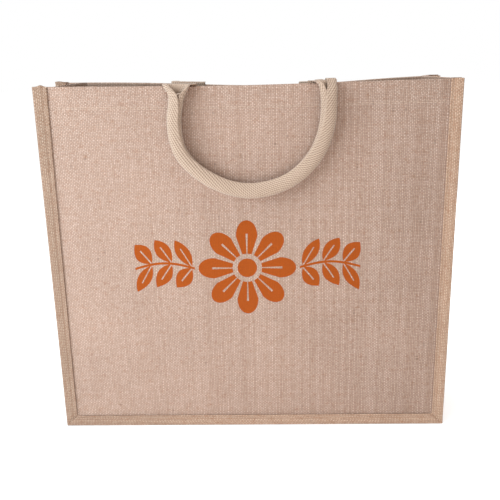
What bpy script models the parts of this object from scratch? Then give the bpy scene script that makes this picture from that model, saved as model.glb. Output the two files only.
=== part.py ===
"""Burlap shopping bag, standing open and empty.

Two jute panels are joined by one strip that makes both gussets and the base. Each
panel's raw edges stand outwards with the strip's, wrapped in a folded jute binding that
is mitred at the lower corners. A length of cotton webbing on each panel is sewn flat
inside the hem, goes over the rim and is rolled into a round handle that hangs down.

Frame: the bag's width lies along X, its front panel faces -Y and its rim is up, +Z.
"""

import math

import bpy
import numpy as np

MM = 0.001

# The body of the bag
WIDTH = 430 * MM  # outer edge to outer edge of the bound side seams
HEIGHT = 381 * MM  # floor to rim
DEPTH = 102 * MM  # front panel to back panel at the base
FIN = 13 * MM  # how far the bound seams stand out past the gussets and the base
HEM = 24 * MM  # turned in along the rim

# Thickness of each cloth, and the air left between two that are sewn together
CLOTH = 1.2 * MM
TAPE = 1.0 * MM
WEBBING = 1.8 * MM
GAP = 0.35 * MM

# How the bag has settled
FRONT_SWELL = 3.0 * MM
BACK_SWELL = 2.0 * MM
LEAN_LEFT = 18 * MM  # the back panel's rim leans forward, most at the left
LEAN_RIGHT = 4 * MM
LEAN_CURVE = 1.5  # 1 would be a straight lean, more keeps it near the rim
CREASE_LEFT = 30 * MM  # the gussets fold inwards along their middle
CREASE_RIGHT = 17 * MM
CREASE_CURVE = 0.7  # how the crease fades towards the base, 1 for straight
CREASE_TIP = 0.05  # roundness of the fold, as a part of the gusset's width
CREASE_RISE = 1.5 * MM  # how far the fold's tip stands above the rim
SEAM_DROP = 1.5 * MM  # how far the gusset's top lies below the rim at its seams

# The rims. Each dips where its handle weighs on it.
FRONT_RIM = HEIGHT - 0.1 * MM  # at its ends
FRONT_DIP = 2.6 * MM
FRONT_DIP_MIDDLE = -20 * MM
FRONT_DIP_SPREAD = 140 * MM
BACK_RIM = HEIGHT + 0.8 * MM
BACK_DIP = 7.8 * MM
BACK_DIP_MIDDLE = 36 * MM
BACK_DIP_SPREAD_LEFT = 135 * MM
BACK_DIP_SPREAD_RIGHT = 115 * MM

# The handles
WEB_WIDTH = 38 * MM
REAR_SHIFT = -1 * MM  # the rear handle sits a little to the left of the front one
REAR_RISE = 0.6 * MM
LOOP_MIDDLE = np.array([4 * MM, 0, HEIGHT])  # between the feet, level with the rim

# How finely each piece is divided
PANEL_COLUMNS = 14
PANEL_ROWS = 9
SIDE_ROWS = 10
BASE_COLUMNS = 14
CORNER_STEPS = 3
SECTIONS_PER_STATION = 2
ROLL_STEPS = 5
SHARP = math.radians(40)  # edges that turn more than this are shaded as edges

# A handle's route: the middle of the webbing's section at each station, in millimetres.
# out is measured from the middle of the panel's cloth, away from the bag's inside.
# seam_angle turns from straight out towards the inside of the loop, in degrees.
# roll_in and roll_out are the halves of the webbing, 0 flat and 1 closed to a tube.
X, OUT, Z, SEAM_ANGLE, ROLL_IN, ROLL_OUT = range(6)
ROUTE = (
    (-66.0, -3.7, 352.0, 0, 0.00, 0.00),  # left end, sewn inside the hem
    (-66.0, -3.7, 374.0, 0, 0.00, 0.00),
    (-66.1, -3.7, 379.1, 0, 0.00, 0.02),
    (-66.3, -1.0, 380.7, 0, 0.03, 0.06),  # over the rim
    (-66.5, 2.2, 380.4, 0, 0.05, 0.14),
    (-67.0, 4.7, 377.2, 4, 0.16, 0.34),
    (-68.8, 7.8, 372.0, 14, 0.52, 0.80),
    (-71.3, 9.2, 364.5, 22, 1.00, 1.00),  # closed
    (-73.5, 9.4, 343.0, 40, 1.00, 1.00),
    (-67.0, 9.2, 313.0, 54, 1.00, 1.00),
    (-41.0, 9.0, 287.5, 68, 1.00, 1.00),
    (2.0, 8.8, 273.6, 75, 1.00, 1.00),  # lowest point of the loop
    (46.0, 9.0, 286.5, 66, 1.00, 1.00),
    (71.5, 9.2, 314.5, 50, 1.00, 1.00),
    (80.8, 9.4, 345.0, 36, 1.00, 1.00),
    (82.0, 9.3, 364.0, 26, 1.00, 1.00),
    (80.2, 8.0, 372.0, 16, 0.60, 0.84),
    (78.2, 5.1, 377.9, 4, 0.20, 0.44),
    (77.0, 2.4, 381.4, 0, 0.06, 0.18),
    (76.6, -1.0, 381.9, 0, 0.03, 0.10),  # over the rim
    (76.2, -3.7, 380.2, 0, 0.00, 0.02),
    (76.0, -3.7, 375.0, 0, 0.00, 0.00),
    (75.5, -3.7, 352.0, 0, 0.00, 0.00),  # right end, sewn inside the hem
)

# Worked out from the sizes above
EDGE = WIDTH / 2
SEAM = EDGE - FIN  # where the gussets meet the panels
WALL = CLOTH / 2
FLANGE_OUT = -(CLOTH + GAP)  # the strip's cloth inside the bound seam
TAPE_FRONT = WALL + GAP + TAPE / 2  # the binding's two legs
TAPE_BACK = FLANGE_OUT - WALL - GAP - TAPE / 2
RAW_EDGE = 2.5 * MM  # from the seam's outer edge to the raw edges inside the binding
HEM_CLOTH = CLOTH + 0.4 * MM  # what the hem's second layer adds
HEM_EDGE = SEAM - WALL - 1.0 * MM  # the hem's second layer stops short of the gussets
HEM_STEP = 1.0 * MM
BASE_SAG = FIN - WALL  # lets the base lie on the floor
BASE_SLOPE = 60 * MM  # along which the base comes down from each lower corner
CORNER_RADIUS = 8 * MM
FLANGE_BEND = 1.2 * MM  # radius at which the strip's cloth turns out into the seam
TAPE_BEND = 1.1 * MM  # the same for the binding round the raw edges
TAPE_STEP = 1.6 * MM  # the binding's inner leg ends this much before the outer one
TAPE_ABOVE = 0.5 * MM  # the binding's ends stand above the rim
TUBE_SLIT = 0.05  # angle that a closed tube leaves open on each side, in radians
FRONT, BACK = -1, 1


def ease(t):
    """0 below 0, 1 above 1, and smooth between."""
    t = np.clip(t, 0.0, 1.0)
    return t * t * (3 - 2 * t)


def bump(x, middle, spread):
    """1 at the middle and a smooth fall to 0 on both sides."""
    return np.exp(-(((x - middle) / spread) ** 2))


def rim(side, x):
    """Height of a panel's rim."""
    if side == FRONT:
        return FRONT_RIM - FRONT_DIP * bump(x, FRONT_DIP_MIDDLE, FRONT_DIP_SPREAD)
    right = x > BACK_DIP_MIDDLE
    spread = np.where(right, BACK_DIP_SPREAD_RIGHT, BACK_DIP_SPREAD_LEFT)
    return BACK_RIM - BACK_DIP * bump(x, BACK_DIP_MIDDLE, spread)


def panel_y(side, x, z):
    """The middle of a panel's cloth."""
    across = np.clip(1 - (x / SEAM) ** 2, 0, None)
    up = np.clip(z / HEIGHT, 0, 1)
    if side == FRONT:
        return -DEPTH / 2 - FRONT_SWELL * across * np.sin(math.pi * up)
    right = (x + SEAM) / (2 * SEAM)
    lean = LEAN_LEFT + (LEAN_RIGHT - LEAN_LEFT) * right
    return DEPTH / 2 - lean * up**LEAN_CURVE + BACK_SWELL * across * np.sin(math.pi * up)


def on_panel(side, x, out, z):
    """A point that lies out from the middle of a panel's cloth, away from the inside."""
    return (x, panel_y(side, x, z) + side * out, z)


def finish(name, colour, roughness):
    """A plain cloth material. colour is an sRGB hex value."""
    material = bpy.data.materials.new(name)
    material.use_nodes = True
    shader = material.node_tree.nodes["Principled BSDF"]
    channels = [int(colour[i : i + 2], 16) / 255 for i in (0, 2, 4)]
    linear = [c / 12.92 if c <= 0.04045 else ((c + 0.055) / 1.055) ** 2.4 for c in channels]
    shader.inputs["Base Color"].default_value = (*linear, 1.0)
    shader.inputs["Roughness"].default_value = roughness
    shader.inputs["Metallic"].default_value = 0.0
    return material


def sheet(name, outer, inner, material, parent):
    """One closed solid between two grids of points, rows by columns, of the same size."""
    rows, columns = outer.shape[:2]
    count = rows * columns
    faces = []

    def at(layer, row, column):
        return layer * count + row * columns + column

    for row in range(rows - 1):
        for column in range(columns - 1):
            ring = ((row, column), (row, column + 1), (row + 1, column + 1), (row + 1, column))
            faces.append([at(0, *corner) for corner in ring])
            faces.append([at(1, *corner) for corner in reversed(ring)])
    border = [(0, column) for column in range(columns)]
    border += [(row, columns - 1) for row in range(1, rows)]
    border += [(rows - 1, column) for column in range(columns - 2, -1, -1)]
    border += [(row, 0) for row in range(rows - 2, 0, -1)]
    for here, there in zip(border, border[1:] + border[:1]):
        faces.append([at(0, *there), at(0, *here), at(1, *here), at(1, *there)])

    points = np.concatenate([outer.reshape(-1, 3), inner.reshape(-1, 3)])
    mesh = bpy.data.meshes.new(name)
    mesh.from_pydata(points.tolist(), [], faces)
    if signed_volume(mesh) < 0:
        mesh.flip_normals()
    mesh.shade_smooth()
    mesh.set_sharp_from_angle(angle=SHARP)
    mesh.materials.append(material)
    piece = bpy.data.objects.new(name, mesh)
    piece.parent = parent
    bpy.context.scene.collection.objects.link(piece)
    return piece


def signed_volume(mesh):
    mesh.calc_loop_triangles()
    corners = np.array([[mesh.vertices[i].co[:] for i in t.vertices] for t in mesh.loop_triangles])
    return np.einsum("ij,ij->", corners[:, 0], np.cross(corners[:, 1], corners[:, 2])) / 6


def panel(name, side, material, parent):
    """A panel: one layer of cloth, two along the hem, with its rim cut to its own dips."""
    half = EDGE - RAW_EDGE
    inside = np.linspace(-HEM_EDGE + HEM_STEP, HEM_EDGE - HEM_STEP, PANEL_COLUMNS + 1)
    columns = np.concatenate([[-half, -HEM_EDGE], inside, [HEM_EDGE, half]])
    below = np.linspace(RAW_EDGE, HEIGHT - HEM - HEM_STEP, PANEL_ROWS + 1)
    outer, inner = [], []
    for x in columns:
        top = rim(side, x)
        heights = np.array([*below, top - HEM, top])
        in_hem = (heights >= top - HEM) & (abs(x) < HEM_EDGE - HEM_STEP / 2)
        outer.append([on_panel(side, x, WALL, z) for z in heights])
        inner.append(
            [on_panel(side, x, -WALL - turned, z) for z, turned in zip(heights, in_hem * HEM_CLOTH)]
        )
    return sheet(name, np.array(outer), np.array(inner), material, parent)


def offset_line(points, distance):
    """A flat line of points moved sideways by distance, square to each stretch."""
    steps = np.diff(points, axis=0)
    steps /= np.linalg.norm(steps, axis=1)[:, None]
    normals = np.stack([-steps[:, 1], steps[:, 0]], axis=1)
    before = np.vstack([normals[:1], normals])
    after = np.vstack([normals, normals[-1:]])
    middle = before + after
    middle /= np.linalg.norm(middle, axis=1)[:, None]
    stretch = np.einsum("ij,ij->i", middle, before)
    return points + distance * middle / stretch[:, None]


def strip_stations():
    """The strip's way round: down the left, along the base and up the right.

    Each station is (x, z, angle), where angle is that of the direction out of the bag.
    """
    low = FIN
    stations = []
    below_hem = np.linspace(low + CORNER_RADIUS, HEIGHT - HEM - HEM_STEP, SIDE_ROWS)
    heights = [*below_hem, HEIGHT - HEM, HEIGHT]
    turn = np.linspace(0, math.pi / 2, CORNER_STEPS + 2)[1:-1]
    for z in heights[::-1]:
        stations.append((-SEAM, z, math.pi))
    for angle in turn:
        x = -SEAM + CORNER_RADIUS * (1 - math.cos(angle))
        stations.append((x, low + CORNER_RADIUS * (1 - math.sin(angle)), math.pi + angle))
    for x in np.linspace(-SEAM + CORNER_RADIUS, SEAM - CORNER_RADIUS, BASE_COLUMNS):
        stations.append((x, low, 1.5 * math.pi))
    left = stations[: len(heights) + CORNER_STEPS]
    for x, z, angle in reversed(left):
        stations.append((-x, z, 3 * math.pi - angle))
    return stations


def strip_profile(x, z, angle):
    """The strip across the bag at one station: flange, wall or base, flange.

    Returns points (y, out), and how much of the gusset's fold each one has.
    """

    def flange_y(side, out):
        place = (x + out * math.cos(angle), z + out * math.sin(angle))
        return panel_y(side, *place) + side * FLANGE_OUT

    across = np.array([0.0, 0.1, 0.22, 0.36, 0.46, 0.5, 0.54, 0.64, 0.78, 0.9, 1.0])
    fold = 1 - np.hypot(2 * across - 1, CREASE_TIP)
    fold = (fold - fold[0]) / (fold.max() - fold[0])
    if z > FIN + CORNER_RADIUS / 2:
        depth = CREASE_LEFT if x < 0 else CREASE_RIGHT
        wall_out = -depth * fold * ((z - FIN) / (HEIGHT - FIN)) ** CREASE_CURVE
    else:
        bowl = ease((0.44 - np.abs(across - 0.5)) / 0.30)  # flat along the middle
        wall_out = BASE_SAG * bowl * ease((SEAM - CORNER_RADIUS - abs(x)) / BASE_SLOPE)
    turn = FLANGE_BEND
    start, end = flange_y(FRONT, 0) + turn, flange_y(BACK, 0) - turn
    wall_y = start + (end - start) * across
    raw = FIN - RAW_EDGE
    points = [(flange_y(FRONT, raw), raw), (flange_y(FRONT, turn), turn)]
    points += [(start - 0.65 * turn, 0.35 * turn)]
    points += list(zip(wall_y, wall_out))
    points += [(end + 0.65 * turn, 0.35 * turn)]
    points += [(flange_y(BACK, turn), turn), (flange_y(BACK, raw), raw)]
    return np.array(points), np.concatenate([[0, 0, 0], fold, [0, 0, 0]])


def gusset_strip(name, material, parent):
    stations = strip_stations()
    outer, inner = [], []
    for index, (x, z, angle) in enumerate(stations):
        points, fold = strip_profile(x, z, angle)
        hem = np.zeros(len(points))
        if z > HEIGHT - HEM - HEM_STEP / 2:
            hem[4:-4] = HEM_CLOTH
        top = index in (0, len(stations) - 1)
        lift = top * (CREASE_RISE * fold - SEAM_DROP * (1 - fold))
        faces = (offset_line(points, WALL), offset_line(points, -WALL))
        for grid, line, sign in ((inner, faces[1], 1), (outer, faces[0], 0)):
            out = line[:, 1] - sign * hem
            grid.append(
                np.stack(
                    [x + out * math.cos(angle), line[:, 0], z + out * math.sin(angle) + lift],
                    axis=1,
                )
            )
    return sheet(name, np.array(outer), np.array(inner), material, parent)


def binding(name, side, material, parent):
    """The strip folded round a panel's three raw edges, mitred at the lower corners."""
    corner = TAPE_BEND
    fold = TAPE / 2
    legs = np.array(
        [
            (FIN, TAPE_FRONT),
            (FIN / 2, TAPE_FRONT),
            (fold + corner, TAPE_FRONT),
            (fold, TAPE_FRONT - corner),
            (fold, TAPE_BACK + corner),
            (fold + corner, TAPE_BACK),
            (FIN / 2, TAPE_BACK),
            (FIN - TAPE_STEP, TAPE_BACK),
        ]
    )
    sides = np.linspace(1.0, 0.0, SIDE_ROWS + 1)
    along = np.linspace(-1.0, 1.0, BASE_COLUMNS + 1)
    grids = []
    for line in (offset_line(legs, TAPE / 2), offset_line(legs, -TAPE / 2)):
        rows = []
        for up in sides:
            rows.append([binding_point(side, -1, up, inset, out) for inset, out in line])
        for x in along[1:-1]:
            rows.append([on_panel(side, x * (EDGE - inset), out, inset) for inset, out in line])
        for up in sides[::-1]:
            rows.append([binding_point(side, 1, up, inset, out) for inset, out in line])
        grids.append(np.array(rows))
    return sheet(name, grids[0], grids[1], material, parent)


def binding_point(side, hand, up, inset, out):
    """A point of the binding's upright stretch, up from the mitre (0) to the rim (1)."""
    x = hand * (EDGE - inset)
    top = rim(side, x) + TAPE_ABOVE
    return on_panel(side, x, out, inset + (top - inset) * up)


def smooth_route(stations, steps):
    """Points on a smooth curve through the stations, steps to a stretch."""
    spans = np.linalg.norm(np.diff(stations[:, :3], axis=0), axis=1)[:, None]
    slopes = np.diff(stations, axis=0) / spans
    turns = (slopes[:-1] * spans[1:] + slopes[1:] * spans[:-1]) / (spans[:-1] + spans[1:])
    slopes = np.vstack([slopes[:1], turns, slopes[-1:]])
    t = (np.arange(steps) / steps)[:, None]
    points = []
    for index, span in enumerate(spans):
        here, there = stations[index], stations[index + 1]
        leaving, arriving = slopes[index] * span, slopes[index + 1] * span
        points.append(
            (2 * t**3 - 3 * t**2 + 1) * here
            + (t**3 - 2 * t**2 + t) * leaving
            + (3 * t**2 - 2 * t**3) * there
            + (t**3 - t**2) * arriving
        )
    return np.vstack([*points, stations[-1:]])


def route_of(side):
    """ROUTE in metres and radians. The rear handle's follows the back rim."""
    route = np.array(ROUTE, dtype=float)
    route[:, [X, OUT, Z]] *= MM
    route[:, SEAM_ANGLE] = np.radians(route[:, SEAM_ANGLE])
    if side == BACK:
        route[:, X] += REAR_SHIFT
        route[:, Z] += rim(BACK, route[:, X]) - rim(FRONT, route[:, X]) + REAR_RISE
    return route


def half_section(part, roll):
    """Half of the webbing's width as an arc, at each of part, 0 in the middle to 1 at the edge.

    Returns the sideways and upward places, the angles, and the arc's average upward place.
    """
    turn = np.clip(roll, 0.001, 1) * (math.pi - TUBE_SLIT)
    radius = WEB_WIDTH / 2 / turn
    angle = part * turn
    lift = radius * (1 - math.sin(turn) / turn)
    return radius * np.sin(angle), radius * (1 - np.cos(angle)), angle, lift


def handle(name, side, material, parent):
    """Webbing along its route, flat at both ends and rolled into a tube between them."""
    fine = 4  # the direction is read from points this much closer than the sections
    route = smooth_route(route_of(side), SECTIONS_PER_STATION * fine)
    places = route[:, [X, OUT, Z]] * (1, side, 1)  # as if the panel were the plane y = 0
    along = np.gradient(places, axis=0)
    along /= np.linalg.norm(along, axis=1)[:, None]
    part = np.linspace(0, 1, ROLL_STEPS + 1)
    outer, inner = [], []
    for index in range(0, len(route), fine):
        place, ahead = places[index], along[index]
        away = place - LOOP_MIDDLE  # away from the inside of the loop
        away[1] = 0
        face = -side * np.cross(away, ahead)
        face /= np.linalg.norm(face)
        seam, roll_in, roll_out = route[index, [SEAM_ANGLE, ROLL_IN, ROLL_OUT]]
        sideways = np.cross(ahead, face) * -side
        up = math.cos(seam) * face - math.sin(seam) * sideways
        aside = math.sin(seam) * face + math.cos(seam) * sideways
        x_in, y_in, a_in, lift_in = half_section(part[::-1], roll_in)
        x_out, y_out, a_out, lift_out = half_section(part[1:], roll_out)
        across = np.concatenate([-x_in, x_out])[:, None]
        height = np.concatenate([y_in, y_out])[:, None] - (lift_in + lift_out) / 2
        angle = np.concatenate([-a_in, a_out])[:, None]
        line = place + across * aside + height * up
        inwards = np.cos(angle) * up - np.sin(angle) * aside
        for grid, sign in ((outer, -1), (inner, 1)):
            points = line + sign * inwards * WEBBING / 2
            grid.append([on_panel(side, x, side * y, z) for x, y, z in points])
    return sheet(name, np.array(outer), np.array(inner), material, parent)


def stand_on_origin(bag, pieces):
    """Moves the whole bag so that the middle of its box's underside is the origin."""
    points = np.array([vertex.co[:] for piece in pieces for vertex in piece.data.vertices])
    low, high = points.min(axis=0), points.max(axis=0)
    bag.location = (-(low[0] + high[0]) / 2, -(low[1] + high[1]) / 2, -low[2])


def build():
    for old in list(bpy.data.objects):
        bpy.data.objects.remove(old)
    bag = bpy.data.objects.new("bag", None)
    bpy.context.scene.collection.objects.link(bag)
    jute = finish("jute", "CDB09B", 0.9)
    tape = finish("jute_tape", "C9AB94", 0.9)
    cotton = finish("cotton_webbing", "E1D0BE", 0.85)
    pieces = [
        panel("front_panel", FRONT, jute, bag),
        panel("back_panel", BACK, jute, bag),
        gusset_strip("side_and_base_strip", jute, bag),
        binding("front_binding", FRONT, tape, bag),
        binding("back_binding", BACK, tape, bag),
        handle("front_handle", FRONT, cotton, bag),
        handle("rear_handle", BACK, cotton, bag),
    ]
    stand_on_origin(bag, pieces)


build()
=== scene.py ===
# %% [markdown]
# # A burlap shopping bag
#
# The bag is two jute panels, one long strip that makes both sides and the base, two
# folded bindings over the raw seams, and two handles of rolled cotton webbing.
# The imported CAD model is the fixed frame. Every piece below is a finer cloth that lies
# where its CAD solid lies, and stands for it.

# %% Load the frame
from functools import partial
from math import cos, pi, radians, sin

import bpy
import numpy as np
from mathutils import Matrix, Vector


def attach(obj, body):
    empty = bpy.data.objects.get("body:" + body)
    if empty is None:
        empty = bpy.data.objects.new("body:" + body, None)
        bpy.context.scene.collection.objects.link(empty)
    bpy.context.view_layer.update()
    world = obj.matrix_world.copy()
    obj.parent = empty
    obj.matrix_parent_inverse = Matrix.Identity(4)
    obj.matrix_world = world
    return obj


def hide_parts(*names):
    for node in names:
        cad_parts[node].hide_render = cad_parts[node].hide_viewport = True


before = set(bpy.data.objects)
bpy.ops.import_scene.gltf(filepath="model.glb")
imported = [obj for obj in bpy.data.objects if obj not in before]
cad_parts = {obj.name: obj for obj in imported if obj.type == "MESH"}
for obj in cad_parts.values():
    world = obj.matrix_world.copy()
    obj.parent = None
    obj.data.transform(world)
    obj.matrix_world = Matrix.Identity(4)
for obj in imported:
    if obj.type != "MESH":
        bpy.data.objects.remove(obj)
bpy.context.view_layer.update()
print("CAD nodes:", sorted(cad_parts))

# %% [markdown]
# ## Sizes
#
# The bag's driving sizes are the same as those of the CAD solids. The one thing read from
# the frame is how far the bag was moved to stand on its origin.

# %% Driving sizes
MM = 0.001
WIDTH = 430 * MM
HEIGHT = 381 * MM
DEPTH = 102 * MM
FIN = 13 * MM  # width of the bound seams
HEM = 24 * MM
CLOTH = 1.2 * MM
TAPE = 1 * MM
WEBBING = 1.8 * MM
GAP = 0.35 * MM
EDGE = WIDTH / 2
SEAM = EDGE - FIN
WALL = CLOTH / 2
RAW_EDGE = 2.5 * MM
FRONT, BACK = -1, 1

ends = [v.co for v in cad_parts["front_panel"].data.vertices]
outermost = max(co.x for co in ends)
at_the_edge = [co.y for co in ends if co.x > outermost - 0.01 * MM]
FORWARD = sum(at_the_edge) / len(at_the_edge) + DEPTH / 2
print(f"the bag stands {FORWARD / MM:.2f} mm behind its own middle")

# %% [markdown]
# ## Camera
#
# A normal lens, close to the bag and a little above its rim, so that the sides lean
# together towards the floor. It looks down by 16 degrees, slightly turned and rolled.

# %% Camera
def put(name, data):
    """A new object in the scene."""
    thing = bpy.data.objects.new(name, data)
    bpy.context.scene.collection.objects.link(thing)
    return thing


PITCH, YAW, ROLL = np.radians([15.971, -1.657, -1.203])
ahead = Vector((sin(YAW) * cos(PITCH), cos(YAW) * cos(PITCH), -sin(PITCH)))
level = Vector((cos(YAW), -sin(YAW), 0))
above = level.cross(ahead)
right = level * cos(ROLL) + above * sin(ROLL)
up = above * cos(ROLL) - level * sin(ROLL)
lens = bpy.data.cameras.new("camera")
lens.sensor_width = 36.0
lens.lens = 48.96
camera = put("camera", lens)
camera.matrix_world = Matrix((
    (right.x, up.x, -ahead.x, 0.0203),
    (right.y, up.y, -ahead.y, -0.7459 + FORWARD),
    (right.z, up.z, -ahead.z, 0.4067),
    (0, 0, 0, 1),
))
bpy.context.scene.camera = camera
print("camera at", [round(c, 4) for c in camera.matrix_world.translation])

# %% [markdown]
# ## The shapes that cloth takes
#
# Cloth that was folded and packed never goes back to flat. The rims dip where the
# handles weigh on them, the back leans forward, and both panels swell a little. A few
# smooth functions of place hold this, and all that is sewn to a panel follows them.

# %% Rims and panels
def ease(t):
    """0 below 0, 1 above 1, and smooth between."""
    t = np.clip(t, 0.0, 1.0)
    return t * t * (3 - 2 * t)


def bump(x, middle, spread):
    """1 at the middle and a smooth fall to 0 on both sides."""
    return np.exp(-(((x - middle) / spread) ** 2))


def rim(side, x):
    """Height of a panel's rim."""
    if side == FRONT:
        return HEIGHT - 0.1 * MM - 2.6 * MM * bump(x, -20 * MM, 140 * MM)
    spread = np.where(x > 36 * MM, 115 * MM, 135 * MM)
    return HEIGHT + 0.8 * MM - 7.8 * MM * bump(x, 36 * MM, spread)


def ripple(side, x, z):
    """The slack of the cloth, well under a millimetre, left by folding and packing."""
    slack = np.sin(31 * x + 9 * z + side) * np.sin(13 * z - 17 * x + 2)
    trough = bump(x + 0.35 * z, 0.155, 0.016) - 0.8 * bump(x - 0.2 * z, -0.19, 0.02)
    low = np.sin(pi * np.clip(z / HEIGHT, 0, 1))
    inside = np.clip(1 - (x / SEAM) ** 2, 0, None)
    return (0.35 * slack + 0.3 * trough) * MM * low * inside


def panel_y(side, x, z):
    """The middle of a panel's cloth."""
    across = np.clip(1 - (x / SEAM) ** 2, 0, None)
    up = np.clip(z / HEIGHT, 0, 1)
    swell = across * np.sin(pi * up)
    slack = ripple(side, x, z)
    if side == FRONT:
        return FORWARD - DEPTH / 2 - 3 * MM * swell - slack
    lean = 18 * MM - 14 * MM * (x + SEAM) / (2 * SEAM)
    return FORWARD + DEPTH / 2 - lean * up**1.5 + 2 * MM * swell + slack


def on_panel(side, x, out, z):
    """Points that lie out from the middle of a panel's cloth, away from the inside."""
    x, out, z = np.broadcast_arrays(x, out, z)
    return np.stack([x, panel_y(side, x, z) + side * out, z], axis=-1)


print(f"front rim {rim(FRONT, 0) / MM:.1f} mm, back rim {rim(BACK, 0) / MM:.1f} mm")

# %% [markdown]
# ## Making a sheet
#
# A piece of cloth is a closed skin between two grids of points: its outer face and its
# inner face, joined round the edge. Each point also keeps its place on the flat cloth,
# in metres, as a UV map. The weave is drawn by that map, so the threads run with the
# cloth round every fold.

# %% Sheet helper
def lengths_along(points):
    """How far along a line of points each one lies."""
    return np.r_[0, np.cumsum(np.linalg.norm(np.diff(points, axis=0), axis=1))]


def new_piece(name, points, faces, face_uvs, materials, face_materials):
    """A mesh object with its flat cloth places as the UV map "cloth"."""
    mesh = bpy.data.meshes.new(name)
    mesh.from_pydata(points.tolist(), [], faces)
    layer = mesh.uv_layers.new(name="cloth")
    layer.data.foreach_set("uv", np.asarray(face_uvs, np.float32).ravel())
    mesh.shade_smooth()
    mesh.set_sharp_from_angle(angle=radians(50))
    for material in materials:
        mesh.materials.append(material)
    mesh.polygons.foreach_set("material_index", face_materials)
    return put(name, mesh)


def cloth(name, outer, inner, flat, materials):
    """A closed sheet between two grids, rows by columns. flat has each point's UV."""
    outer, inner, flat = np.array(outer), np.array(inner), np.array(flat)
    rows, columns = outer.shape[:2]
    count = rows * columns
    index = np.arange(count).reshape(rows, columns)
    ring = np.stack([index[:-1, :-1], index[:-1, 1:], index[1:, 1:], index[1:, :-1]], -1)
    ring = ring.reshape(-1, 4)
    border = np.concatenate([index[0, :-1], index[:-1, -1], index[-1, :0:-1], index[:0:-1, 0]])
    there = np.roll(border, -1)
    edge = np.stack([there, border, border + count, there + count], -1)
    faces = np.concatenate([ring, ring[:, ::-1] + count, edge])
    points = np.concatenate([outer.reshape(-1, 3), inner.reshape(-1, 3)])
    a, b, c, d = (points[faces[:, k]] for k in range(4))
    volume = np.einsum("ij,ij->", a, np.cross(b, c)) + np.einsum("ij,ij->", a, np.cross(c, d))
    if volume < 0:
        faces = faces[:, ::-1]
    uvs = np.concatenate([flat.reshape(-1, 2)] * 2)[faces]
    inside = np.zeros(len(faces), np.int32)
    inside[len(ring) : 2 * len(ring)] = len(materials) - 1
    piece = new_piece(name, points, faces.tolist(), uvs, materials, inside)
    print(f"{name}: {len(faces)} faces, {abs(volume) / 6 * 1e6:.0f} cm3 of cloth")
    return piece


# %% [markdown]
# ## Materials
#
# First the helpers: a colour goes from its sRGB hex value to the linear values that a
# shader works with, and one function adds a node with its settings and links.

# %% Colour and node helpers
def colour(code):
    """An sRGB hex value as linear red, green, blue and alpha."""
    channels = [int(code[i : i + 2], 16) / 255 for i in (0, 2, 4)]
    linear = [c / 12.92 if c <= 0.04045 else ((c + 0.055) / 1.055) ** 2.4 for c in channels]
    return (*linear, 1.0)


def add_node(tree, kind, *inputs, **settings):
    """Adds a node, such as "Math.SINE". Its inputs are in order, or one dict of them by name."""
    kind, _, operation = kind.partition(".")
    node = tree.nodes.new("ShaderNode" + kind)
    if operation:
        node.operation = operation
    for name, value in settings.items():
        setattr(node, name, value)
    by_name = inputs and isinstance(inputs[0], dict)
    for key, value in inputs[0].items() if by_name else enumerate(inputs):
        if isinstance(value, bpy.types.Node):
            value = value.outputs[0]
        if isinstance(value, bpy.types.NodeSocket):
            tree.links.new(value, node.inputs[key])
        else:
            node.inputs[key].default_value = value
    return node


def new_finish(name, roughness, sheen):
    """A material, its shader with constant values on it, and add_node for its own tree."""
    material = bpy.data.materials.new(name)
    material.use_nodes = True
    shader = material.node_tree.nodes["Principled BSDF"]
    settings = {"Roughness": roughness, "Metallic": 0.0, "IOR": 1.5, "Sheen Weight": sheen,
                "Sheen Roughness": 0.5}
    for key, value in settings.items():
        shader.inputs[key].default_value = value
    return material, shader, partial(add_node, material.node_tree)


def dress(material, result, relief, strength, distance):
    """Joins a colour and a relief to a material's shader."""
    tree = material.node_tree
    shader = tree.nodes["Principled BSDF"]
    tree.links.new(result.outputs[0], shader.inputs["Base Color"])
    rise = add_node(tree, "Bump", {"Height": relief, "Strength": strength, "Distance": distance})
    tree.links.new(rise.outputs[0], shader.inputs["Normal"])


print("straw in linear light:", [round(c, 3) for c in colour("D2B7A2")])

# %% [markdown]
# ### Plain-woven jute
#
# Jute yarn is spun thick and thin, and each length of stalk has its own shade, so no
# two threads match. Plain weave passes every thread over one and under the next.
# At a crossing the top thread makes a small pillow, and between four pillows lies a
# pinhole. The colour is darkened in the pinholes and hollows as painted shade, and made
# a little lighter on the pillow tops as painted light. The eye sees light beads, crossed
# by pale and dark streaks along single threads. 14 warp and 16 weft threads to the inch
# set the scale of the pattern.

# %% Jute
WARP = 25.4 / 14 * MM
WEFT = 25.4 / 16 * MM
STREAKS = 0.30  # how much the shade changes from thread to thread


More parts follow.
